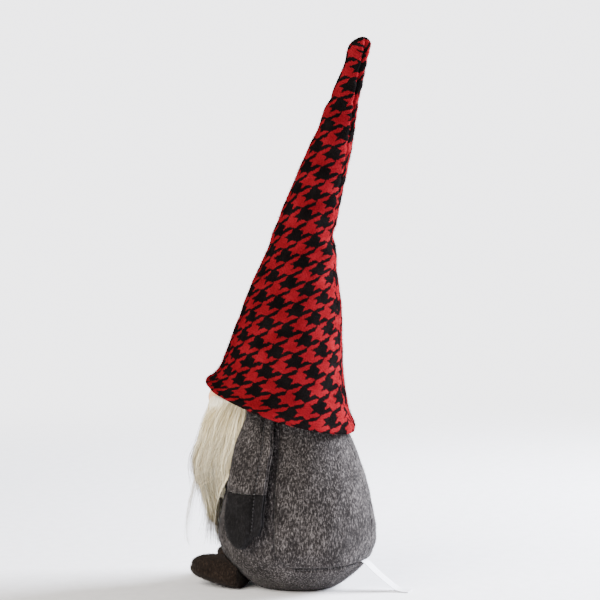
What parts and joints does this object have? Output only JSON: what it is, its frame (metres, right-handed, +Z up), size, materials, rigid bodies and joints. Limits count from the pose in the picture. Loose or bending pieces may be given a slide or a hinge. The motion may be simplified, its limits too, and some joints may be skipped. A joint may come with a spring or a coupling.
{
  "type": "tomte gnome figurine",
  "caption": "Free-standing stuffed felt gnome with a tall leaning houndstooth wool hat, long fur beard, mittened arms and padded feet.",
  "frame": {"origin": "centre of the flat base the gnome stands on", "axes": "+Z up; the gnome faces -Y; +X is its left side"},
  "size_m": [0.1508, 0.1855, 0.443],
  "materials": {
    "felt_grey": "heathered mid-grey wool felt, matt and slightly hairy",
    "felt_charcoal": "charcoal wool felt, matt",
    "felt_brown": "brown-black wool felt, matt",
    "wool_houndstooth": "brushed wool in a red and black houndstooth",
    "jersey_peach": "peach knitted jersey, matt",
    "fur_white": "long ivory-white faux fur, soft sheen",
    "fur_backing": "knitted backing cloth of the fur",
    "fibre_fill": "polyester fibre filling",
    "cotton_cloth": "unbleached cotton cloth",
    "sand": "dry sand, loose",
    "board": "grey board, uncoated",
    "satin_ribbon": "white satin ribbon, soft gloss",
    "thread": "dark waxed sewing thread"
  },
  "bodies": {
    "body": {"base_panel": "felt_grey", "base_board": "board", "weight_bag_bottom": "cotton_cloth", "weight_bag_top": "cotton_cloth", "weight_fill": "sand", "body_front_panel": "felt_grey", "body_back_panel_left": "felt_grey", "body_back_panel_right": "felt_grey", "body_stuffing": "fibre_fill", "hat_lower_cone": "wool_houndstooth", "hat_hem": "wool_houndstooth", "hat_stuffing_lower": "fibre_fill", "nose_cover": "jersey_peach", "nose_stuffing": "fibre_fill", "nose_neck": "jersey_peach"},
    "hat_tip": {"hat_upper_cone": "wool_houndstooth", "hat_stuffing_upper": "fibre_fill"},
    "beard": {"beard_backing": "fur_backing", "beard_pile": "fur_white"},
    "shoulder_left": {"arm_left_thread": "thread"},
    "arm_left": {"arm_left_sleeve": "felt_grey", "arm_left_mitten": "felt_charcoal", "arm_left_stuffing": "fibre_fill"},
    "foot_left": {"foot_left_upper": "felt_brown", "foot_left_sole": "felt_brown", "foot_left_stuffing": "fibre_fill"},
    "shoulder_right": {"arm_right_thread": "thread"},
    "arm_right": {"arm_right_sleeve": "felt_grey", "arm_right_mitten": "felt_charcoal", "arm_right_stuffing": "fibre_fill"},
    "foot_right": {"foot_right_upper": "felt_brown", "foot_right_sole": "felt_brown", "foot_right_stuffing": "fibre_fill"},
    "label": {"care_label": "satin_ribbon"}
  },
  "joints": [
    {"name": "hat_tip_bend", "type": "hinge", "parent": "body", "child": "hat_tip", "pos_m": [0, 0.0033, 0.286], "axis": [-1, 0, 0], "range_deg": [-30, 45]},
    {"name": "beard_lift", "type": "hinge", "parent": "body", "child": "beard", "pos_m": [0, -0.036, 0.156], "axis": [-1, 0, 0], "range_deg": [0, 25]},
    {"name": "arm_left_swing", "type": "hinge", "parent": "body", "child": "shoulder_left", "pos_m": [0.03025, -0.01729, 0.1445], "axis": [-1, 0, 0], "range_deg": [0, 35]},
    {"name": "arm_left_lift", "type": "hinge", "parent": "shoulder_left", "child": "arm_left", "pos_m": [0.03025, -0.01729, 0.1445], "axis": [-0.3256, -0.9455, 0], "range_deg": [0, 35]},
    {"name": "arm_right_swing", "type": "hinge", "parent": "body", "child": "shoulder_right", "pos_m": [-0.03025, -0.01729, 0.1445], "axis": [-1, 0, 0], "range_deg": [0, 35]},
    {"name": "arm_right_lift", "type": "hinge", "parent": "shoulder_right", "child": "arm_right", "pos_m": [-0.03025, -0.01729, 0.1445], "axis": [-0.3256, 0.9455, 0], "range_deg": [0, 35]},
    {"name": "foot_left_flex", "type": "hinge", "parent": "body", "child": "foot_left", "pos_m": [0.028, -0.0506, 0.0226], "axis": [-1, 0, 0], "range_deg": [0, 12]},
    {"name": "foot_right_flex", "type": "hinge", "parent": "body", "child": "foot_right", "pos_m": [-0.028, -0.0506, 0.0226], "axis": [-1, 0, 0], "range_deg": [0, 12]},
    {"name": "label_lift", "type": "hinge", "parent": "body", "child": "label", "pos_m": [0, 0.05822, 0.023], "axis": [1, 0, 0], "range_deg": [0, 60]}
  ]
}
